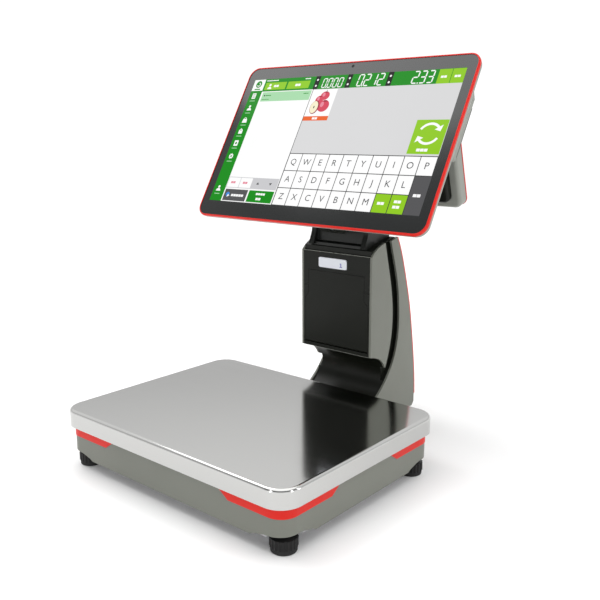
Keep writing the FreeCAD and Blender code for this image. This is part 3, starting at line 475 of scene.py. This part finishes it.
def draw_sidebar(layer):
    """A tile with a plain round mark, then a column of plain icons."""
    white = layer("white", 3)
    white.rect(0.6, SIDEBAR_W - 0.6, PANEL_H - 18.5, PANEL_H - 0.4)
    mark = layer("green", 4)
    middle = SIDEBAR_W / 2
    mark.disc(middle, PANEL_H - 8.0, 5.6)
    layer("white", 5).shape(band(middle, PANEL_H - 8.4, 2.0, 3.2, 200, 250, 16))
    mark.rect(middle - 5.5, middle + 5.5, PANEL_H - 17.0, PANEL_H - 15.2)
    heights = (166.5, 146.8, 127.2, 109.4, 90.1, 69.3, 18.6)
    icons = (icon_receipt, icon_person, icon_bag, icon_tag, icon_book, icon_gear, icon_person)
    for z, icon in zip(heights, icons):
        icon(layer, middle - 1.5, z)
        layer("pale", 3).rect(middle - 6.5, middle + 3.5, z - 8.6, z - 7.5)


def icon_receipt(layer, x, z):
    layer("white", 3).rect(x - 3.4, x + 3.4, z - 4.4, z + 4.4, 0.6)
    for i in range(3):
        layer("green", 4).rect(x - 2.2, x + 2.2, z - 2.6 + i * 2.2, z - 1.8 + i * 2.2)


def icon_person(layer, x, z):
    layer("white", 3).disc(x, z + 2.6, 2.0)
    layer("white", 3).shape(circle(x, z - 3.8, 4.2, 16, 0, 180))


def icon_bag(layer, x, z):
    bag = [(x - 4.6, z - 4.2), (x + 4.6, z - 4.2), (x + 3.6, z + 2.0), (x - 3.6, z + 2.0)]
    layer("white", 3).shape(bag)
    layer("white", 3).shape(band(x, z + 2.0, 1.5, 2.4, 0, 180, 12))


def icon_tag(layer, x, z):
    tag = [(x - 3.6, z - 4.2), (x + 3.6, z - 4.2), (x + 3.6, z + 1.4), (x, z + 4.6), (x - 3.6, z + 1.4)]
    layer("white", 3).shape(tag)
    layer("green", 4).disc(x, z + 1.4, 1.0)


def icon_book(layer, x, z):
    layer("white", 3).rect(x - 3.8, x + 3.8, z - 4.4, z + 4.4, 0.8)
    layer("green", 4).shape([(x, z - 2.4), (x + 2.2, z), (x, z + 2.4), (x - 2.2, z)])


def icon_gear(layer, x, z):
    points = []
    for i in range(32):
        radius = 4.3 if (i // 2) % 2 else 3.3
        angle = 2 * math.pi * i / 32
        points.append((x + radius * math.cos(angle), z + radius * math.sin(angle)))
    layer("white", 3).shape(points)
    layer("green", 4).disc(x, z, 1.5)


def icon_arrow(layer, colour, level, x, z, size, up):
    step = size if up else -size
    foot = z - step * 0.6
    layer(colour, level).shape([(x - size, foot), (x + size, foot), (x, z + step * 0.8)])


def word_bar(layer, colour, level, x, z, length, thick):
    """A caption shown as short blocks in place of lettering."""
    left = x - length / 2
    block = thick * 1.25
    count = max(1, int(length / (block + 0.5)))
    for i in range(count):
        x0 = left + i * (block + 0.5)
        layer(colour, level).rect(x0, x0 + block, z - thick / 2, z + thick / 2, 0.2)


def draw_top_bar(layer):
    low = PANEL_H - TOP_BAR_H
    bright = layer("bright", 3)
    bright.rect(25.0, 64.5, low + 2.6, low + 14.4)
    bright.rect(67.5, 107.5, low + 2.6, low + 14.4)
    layer("white", 4).disc(34.5, low + 10.2, 2.0)
    layer("white", 4).shape(circle(34.5, low + 3.8, 3.8, 14, 0, 180))
    word_bar(layer, "white", 4, 49.0, low + 8.4, 14.0, 3.4)
    word_bar(layer, "white", 4, 88.0, low + 8.4, 12.0, 3.6)
    word_bar(layer, "white", 3, 37.0, PANEL_H - 2.8, 24.0, 1.6)
    word_bar(layer, "white", 3, 102.0, PANEL_H - 2.8, 10.0, 1.6)
    for x in (116.0, 170.0, 234.5):
        layer("black", 3).rect(x, x + 8.0, low + 0.2, PANEL_H)
        layer("white", 4).disc(x + 4.0, low + 5.4, 1.5)
        layer("white", 4).disc(x + 4.0, low + 14.6, 1.5)
    draw_number(layer, "0.000", 130.6, low + 2.2, 13.6, 5.9, 9.0)
    draw_number(layer, "0.212", 189.0, low + 2.2, 16.6, 7.2, 10.6)
    draw_number(layer, "2.33", 272.4, low + 2.2, 16.6, 7.2, 10.8)
    bright.rect(308.0, 325.8, low, PANEL_H - 0.4)
    bright.rect(326.6, PANEL_W, low, PANEL_H - 0.4)
    word_bar(layer, "white", 4, 317.0, low + 9.4, 9.5, 3.0)
    word_bar(layer, "white", 4, 335.5, low + 9.4, 9.5, 3.0)


def draw_number(layer, number, x, z, height, width, pitch, colour="white"):
    """A weight or a price in seven-segment numerals."""
    ink = layer(colour, 3)
    stroke = height * 0.1
    for character in number:
        if character == ".":
            middle = x - (pitch - width) / 2
            ink.rect(middle - stroke / 2, middle + stroke / 2, z - stroke / 2, z + stroke / 2)
            continue
        ink.seven_segment(character, x, z, width, height, stroke, 0.06)
        x += pitch


def draw_list(layer):
    left = SIDEBAR_W
    right = SIDEBAR_W + LIST_W
    layer("pale", 3).rect(left + 3.0, right - 1.5, 157.0, 172.0)
    layer("letter", 4).disc(left + 8.0, 166.5, 1.4)
    word_bar(layer, "green", 4, left + 16.0, 166.5, 11.0, 1.6)
    word_bar(layer, "green", 4, right - 10.0, 167.5, 9.0, 1.4)
    word_bar(layer, "green", 4, left + 12.0, 160.2, 14.0, 1.2)
    layer("button", 3).rect(left + 0.8, right - 1.0, 20.6, 37.4)
    for i, colour in enumerate(("white", "white", "button", "button")):
        x0 = left + 1.6 + i * 22.8
        layer(colour, 4).rect(x0, x0 + 21.8, 21.6, 36.4, 0.8)
    word_bar(layer, "pink", 5, left + 12.5, 29.0, 11.0, 3.2)
    word_bar(layer, "pink", 5, left + 35.3, 29.0, 11.0, 3.2)
    icon_arrow(layer, "dark", 5, left + 58.0, 29.0, 2.6, True)
    icon_arrow(layer, "dark", 5, left + 81.0, 29.0, 2.6, False)
    layer("dark", 3).rect(left + 2.0, left + 45.0, 1.2, 18.6)
    layer("blue", 4).disc(left + 9.0, 10.6, 3.4)
    layer("white", 5).shape([(left + 8.2, 6.4), (left + 13.0, 8.6), (left + 9.6, 11.0)])
    word_bar(layer, "white", 4, left + 28.0, 9.6, 24.0, 3.4)
    layer("green", 3).rect(left + 47.6, right - 2.0, 1.2, 18.6)
    word_bar(layer, "white", 4, left + 70.0, 13.6, 17.0, 3.0)
    word_bar(layer, "white", 4, left + 70.0, 6.4, 12.0, 3.4)


def draw_produce_tile(layer):
    """The recognised goods: two whole apples and a cut one, over an orange bar."""
    x0 = SIDEBAR_W + LIST_W + 1.0
    layer("white", 3).rect(x0, x0 + 42.0, 131.8, 172.4)
    layer("orange", 3).rect(x0, x0 + 42.0, 125.0, 131.6)
    word_bar(layer, "white", 4, x0 + 21.0, 128.3, 11.0, 3.2)
    whole = ((4, 24.0, 162.6, 7.6, 6.6), (5, 16.5, 156.5, 6.6, 6.4), (6, 27.0, 147.0, 9.6, 9.0))
    for level, dx, z, wide, tall in whole:
        x = x0 + dx
        gloss = oval(x - wide * 0.3, z + tall * 0.25, wide * 0.3, tall * 0.45)
        hollow = oval(x + wide * 0.1, z + tall * 0.82, wide * 0.35, tall * 0.12)
        layer("red", level).shape(oval(x, z, wide, tall))
        layer("pink", level + 1).shape(gloss)
        layer("maroon", level + 1).shape(hollow)
    layer("letter", 5).rect(x0 + 24.2, x0 + 25.0, 168.2, 171.6)
    layer("maroon", 7).shape(oval(x0 + 12.6, 145.2, 7.6, 10.2))
    layer("cream", 8).shape(oval(x0 + 11.8, 145.4, 6.4, 9.2))
    layer("letter", 9).shape(oval(x0 + 11.8, 145.4, 1.0, 2.0))


def oval(x, z, wide, tall, count=28):
    return [(x + wide * math.cos(a), z + tall * math.sin(a)) for a in angles(count)]


def angles(count):
    return [2 * math.pi * i / count for i in range(count)]


def draw_refresh(layer):
    """Square button with two arrows that chase each other."""
    x0 = PANEL_W - 44.6
    z0 = 3 * KEY_H + 3.0
    layer("bright", 3).rect(x0, PANEL_W - 0.6, z0, z0 + 45.6)
    white = layer("white", 4)
    x = x0 + 22.0
    z = z0 + 27.0
    white.shape(band(x, z - 1.6, 13.2, 16.4, 150, -108))
    white.shape(band(x, z + 1.6, 13.2, 16.4, -30, -108))
    tip = 4.4
    right = (x + 14.8 * math.cos(math.radians(38)), z - 1.6 + 14.8 * math.sin(math.radians(38)))
    left = (2 * x - right[0], 2 * z - right[1])
    for (px, pz), way in ((right, 1), (left, -1)):
        white.shape([(px + way * tip, pz + way * tip), (px + way * 2.6, pz - way * tip),
                     (px - way * tip * 1.3, pz - way * 2.0)])
    word_bar(layer, "white", 4, x, z0 + 5.2, 20.0, 3.8)


def draw_keyboard(layer):
    left = SIDEBAR_W + LIST_W + 0.9
    pitch = (PANEL_W - left) / 10
    gap = 0.55
    for row, letters in enumerate(KEY_ROWS):
        z0 = (2 - row) * KEY_H
        for i, letter in enumerate(letters):
            x0 = left + i * pitch
            layer("white", 3).rect(x0 + gap, x0 + pitch - gap, z0 + gap, z0 + KEY_H - gap)
            layer("letter", 4).text(letter, x0 + pitch / 2, z0 + KEY_H / 2, 12.5)
    for i in (7, 8):
        x0 = left + i * pitch
        layer("bright", 3).rect(x0 + gap, x0 + pitch - gap, gap, KEY_H - gap)
    word_bar(layer, "white", 4, left + 7.5 * pitch, KEY_H / 2, 11.0, 3.6)
    word_bar(layer, "white", 4, left + 8.5 * pitch, KEY_H / 2 + 3.4, 11.0, 3.6)
    word_bar(layer, "white", 4, left + 8.5 * pitch, KEY_H / 2 - 3.4, 11.0, 3.6)
    x0 = left + 9 * pitch
    layer("dark", 3).rect(x0 + gap, PANEL_W, gap, 2 * KEY_H - gap)
    word_bar(layer, "white", 4, x0 + pitch / 2, KEY_H, 11.0, 3.8)


def operator_screen():
    screen = Screen("display_glass", "display", -1)
    layer, made = operator_layers(screen)
    draw_backgrounds(layer)
    draw_sidebar(layer)
    draw_top_bar(layer)
    draw_list(layer)
    draw_produce_tile(layer)
    draw_refresh(layer)
    draw_keyboard(layer)
    for one in made.values():
        one.done()
    return screen


WEBCAM_DROP = 5.5               # webcam's centre below the glass's upper edge


def webcam(screen):
    """A pinhole lens in the upper bezel, on the middle line, drawn in glowing screen colours with a painted
    glint at its centre.
    """
    middle = (screen.high.x - screen.low.x) / MM / 2
    top = (screen.high.z - screen.low.z) / MM
    place = (middle, top - WEBCAM_DROP)
    # The ring and lens glow in lit screen colours; the small centre dot is a painted glint.
    rings = (("webcam_ring", "line", 1, 2.3), ("webcam_lens", "black", 2, 1.5), ("webcam_painted_glint", "dark", 3, 0.5))
    for name, colour, level, radius in rings:
        dot = Layer(screen, place, name, UI[colour], level)
        dot.disc(0, 0, radius)
        dot.done()


CUSTOMER_W = 221.0              # lit area of the customer's screen
CUSTOMER_H = 138.0


def customer_screen():
    """The customer's side: the list of goods, the weight and the sum to pay."""
    screen = Screen("rear_display_glass", "rear_display", 1)
    x, z = screen.middle_of("rear_display_panel")
    made = {}

    def layer(colour, level):
        key = (colour, level)
        if key not in made:
            name = "customer_%s_%d" % (colour, level)
            made[key] = Layer(screen, (x - CUSTOMER_W / 2, z - CUSTOMER_H / 2), name, UI[colour], level)
        return made[key]

    top = CUSTOMER_H - 18.0
    split = 118.0
    layer("line", 1).rect(0, CUSTOMER_W, 0, CUSTOMER_H)
    layer("green", 2).rect(0, CUSTOMER_W, top, CUSTOMER_H)
    word_bar(layer, "white", 3, 34.0, top + 9.0, 46.0, 4.2)
    word_bar(layer, "white", 3, CUSTOMER_W - 24.0, top + 9.0, 26.0, 3.0)
    layer("white", 2).rect(0, split, 0, top)
    layer("pale", 3).rect(0, split, top - 18.0, top - 3.0)
    for row in range(5):
        height = top - 10.5 - row * 19.0
        word_bar(layer, "letter", 4, 20.0, height, 26.0 - 3.0 * (row % 3), 3.0)
        word_bar(layer, "letter", 4, split - 18.0, height, 16.0, 3.0)
        layer("grey", 3).rect(4.0, split - 4.0, height - 9.9, height - 9.4)
    layer("grey", 2).rect(split + 1.0, CUSTOMER_W, 66.0, top)
    layer("green", 2).rect(split + 1.0, CUSTOMER_W, 0, 65.0)
    draw_number(layer, "0.212", split + 30.0, 82.0, 20.0, 9.0, 14.0, "line")
    draw_number(layer, "2.33", split + 26.0, 14.0, 32.0, 14.5, 22.0)
    word_bar(layer, "letter", 3, split + 16.0, top - 7.0, 20.0, 3.4)
    word_bar(layer, "white", 3, split + 16.0, 58.0, 20.0, 3.4)
    for one in made.values():
        one.done()


# ---- small trim and painted highlight strips ----------------------------------------
HIGHLIGHT_STRIP_T = 0.6                    # height of the pale strips painted as highlights above and below the printer's face


def printer_highlight_strips_and_key_mark():
    """Pale strips above and below the printer's face as painted edge highlights, and the mark on its key."""
    frame_low, frame_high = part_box("door_frame")
    left = frame_low[0] / MM
    right = frame_high[0] / MM
    front = frame_low[1] / MM
    foot = frame_low[2] / MM
    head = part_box("printer_fascia")[1][2] / MM
    # Light-grey strips stand in for the highlights on the face's upper and lower edges: painted highlight.
    for name, z0, z1 in (("face_highlight_strip_low", foot - HIGHLIGHT_STRIP_T, foot), ("face_highlight_strip_high", head, head + HIGHLIGHT_STRIP_T)):
        bm = bmesh.new()
        add_prism(bm, rounded_rectangle(left, right, z0, z1, 0), front + 0.1, front + 0.9)
        piece_from(name, bm, MATERIALS["light_grey"], "base", Matrix.Scale(MM, 4))
    key_low, key_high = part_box("release_key")
    x = key_high[0] / MM - 11.5
    z = (key_low[2] + key_high[2]) / MM / 2 - 1.6
    face = key_low[1] / MM
    bm = bmesh.new()
    glyph = ((x - 2.2, x + 2.2, z - 2.8, z - 1.8), (x - 0.7, x + 0.7, z - 1.7, z + 2.8),
             (x - 1.9, x - 0.8, z + 1.6, z + 2.6))
    for x0, x1, z0, z1 in glyph:
        add_prism(bm, rounded_rectangle(x0, x1, z0, z1, 0.15, 3), face - 0.05, face + 0.02)
    piece_from("key_mark", bm, MATERIALS["key_ink"], "release_key", Matrix.Scale(MM, 4))


def level_bubble():
    """The liquid and the bubble under the level's dome."""
    low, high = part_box("bubble_level")
    x = (low[0] + high[0]) / 2
    y = (low[1] + high[1]) / 2
    dome = high[2] - 1.5 * MM
    flat = Matrix.Rotation(math.radians(-90), 4, "X")
    turn = Matrix.Translation((x, y, dome)) @ flat @ Matrix.Scale(MM, 4)
    for name, outline, material, far in (("level_liquid", circle(0, 0, 8.0, 40), "level_liquid", 0.10),
                                         ("level_bubble", circle(0.8, 0.4, 2.3, 28), "level_air", 0.16)):
        bm = bmesh.new()
        add_prism(bm, outline, -far, 0.02)
        piece_from(name, bm, MATERIALS[material], "base", turn)


# ---- stage --------------------------------------------------------------------------
FLOOR_RADIUS = 60.0
FRONT = (0.65, -0.76, 0.0)      # the side of the room with less light


def make_floor():
    bm = bmesh.new()
    bmesh.ops.create_circle(bm, cap_ends=True, radius=FLOOR_RADIUS, segments=96)
    mesh = bpy.data.meshes.new("floor")
    bm.to_mesh(mesh)
    bm.free()
    shader = Shader("floor_white", 0.7, specular=0.1)
    shader.colour((0.93, 0.93, 0.93, 1), 0.01, 1.0)
    mesh.materials.append(shader.material)
    floor = bpy.data.objects.new("floor", mesh)
    bpy.context.scene.collection.objects.link(floor)


def area_light(name, place, target, size, power, colour=(1, 1, 1)):
    data = bpy.data.lights.new(name, "AREA")
    data.shape = "RECTANGLE"
    data.size, data.size_y = size
    data.energy = power
    data.color = colour
    light = bpy.data.objects.new(name, data)
    light.location = place
    light.rotation_euler = (Vector(target) - Vector(place)).to_track_quat("-Z", "Y").to_euler()
    bpy.context.scene.collection.objects.link(light)
    return light


def grey_ramp(nodes, stops):
    """A ramp of greys, as (place, brightness) pairs."""
    ramp = nodes.new("ShaderNodeValToRGB")
    elements = ramp.color_ramp.elements
    while len(elements) < len(stops):
        elements.new(0.5)
    for element, (place, value) in zip(elements, stops):
        element.position = place
        element.color = (value, value, value, 1)
    return ramp


def studio_world():
    """A soft room: white round the horizon and overhead, dimmer at mid height in front."""
    world = bpy.data.worlds.new("studio")
    world.use_nodes = True
    nodes = world.node_tree.nodes
    links = world.node_tree.links
    direction = nodes.new("ShaderNodeTexCoord").outputs["Generated"]
    parts = nodes.new("ShaderNodeSeparateXYZ")
    links.new(direction, parts.inputs["Vector"])
    behind = grey_ramp(nodes, (
        (0.0, 1.0), (0.2, 1.0), (0.29, 0.58), (0.36, 0.82), (0.44, 1.0), (1.0, 1.0),
    ))
    ahead = grey_ramp(nodes, (
        (0.0, 1.0), (0.2, 1.0), (0.4, 0.12), (0.6, 0.16), (0.75, 0.8), (1.0, 1.0),
    ))
    for ramp in (behind, ahead):
        links.new(parts.outputs["Z"], ramp.inputs["Fac"])
    front = nodes.new("ShaderNodeVectorMath")
    front.operation = "DOT_PRODUCT"
    front.inputs[1].default_value = FRONT
    links.new(direction, front.inputs[0])
    fade = nodes.new("ShaderNodeMapRange")
    fade.interpolation_type = "SMOOTHSTEP"
    fade.inputs["From Min"].default_value = -0.35
    fade.inputs["From Max"].default_value = 0.25
    links.new(front.outputs["Value"], fade.inputs["Value"])
    mix = nodes.new("ShaderNodeMixRGB")
    links.new(fade.outputs["Result"], mix.inputs["Fac"])
    links.new(behind.outputs["Color"], mix.inputs["Color1"])
    links.new(ahead.outputs["Color"], mix.inputs["Color2"])
    room = nodes["Background"]
    room.inputs["Strength"].default_value = 1.08
    links.new(mix.outputs["Color"], room.inputs["Color"])
    bpy.context.scene.world = world


def sky_light(strength):
    """One broad, soft light from straight above, even over the whole floor."""
    data = bpy.data.lights.new("overhead", "SUN")
    data.energy = strength
    data.angle = math.radians(70)
    light = bpy.data.objects.new("overhead", data)
    light.location = (0, 0, 3)
    bpy.context.scene.collection.objects.link(light)


def make_lights():
    studio_world()
    middle = (0, 0, 0.2)
    area_light("key", (-1.35, -0.22, 2.25), middle, (1.7, 1.2), 18)
    sky_light(0.9)
    area_light("side", (1.9, 0.9, 0.9), (0.1, 0.0, 0.3), (0.35, 1.5), 6)
    area_light("strip_front", (0.0, -1.7, 0.45), (0.1, -0.2, 0.05), (0.22, 0.9), 5)
    area_light("strip_right", (1.7, -0.25, 0.45), (0.15, -0.2, 0.05), (0.22, 0.9), 4)


CAMERA_PLACE = (0.6339, -0.7262, 0.4132)
CAMERA_TURN = 40.42             # degrees to the left of straight ahead
CAMERA_DIP = 12.43              # degrees below the horizon
CAMERA_ROLL = -0.15
CAMERA_LENS = 46.24             # on a 36 mm wide sensor


def make_camera():
    data = bpy.data.cameras.new("camera")
    data.lens = CAMERA_LENS
    data.sensor_width = 36.0
    camera = bpy.data.objects.new("camera", data)
    level = Matrix.Rotation(math.radians(CAMERA_TURN), 4, "Z")
    turn = level @ Matrix.Rotation(math.radians(90 - CAMERA_DIP), 4, "X")
    roll = Matrix.Rotation(math.radians(CAMERA_ROLL), 4, "Z")
    camera.matrix_world = Matrix.Translation(CAMERA_PLACE) @ turn @ roll
    bpy.context.scene.collection.objects.link(camera)
    bpy.context.scene.camera = camera


bpy.context.scene.view_settings.view_transform = "Standard"
make_camera()
make_lights()
make_floor()
dress_cad_nodes()
webcam(operator_screen())
customer_screen()
printer_highlight_strips_and_key_mark()
level_bubble()
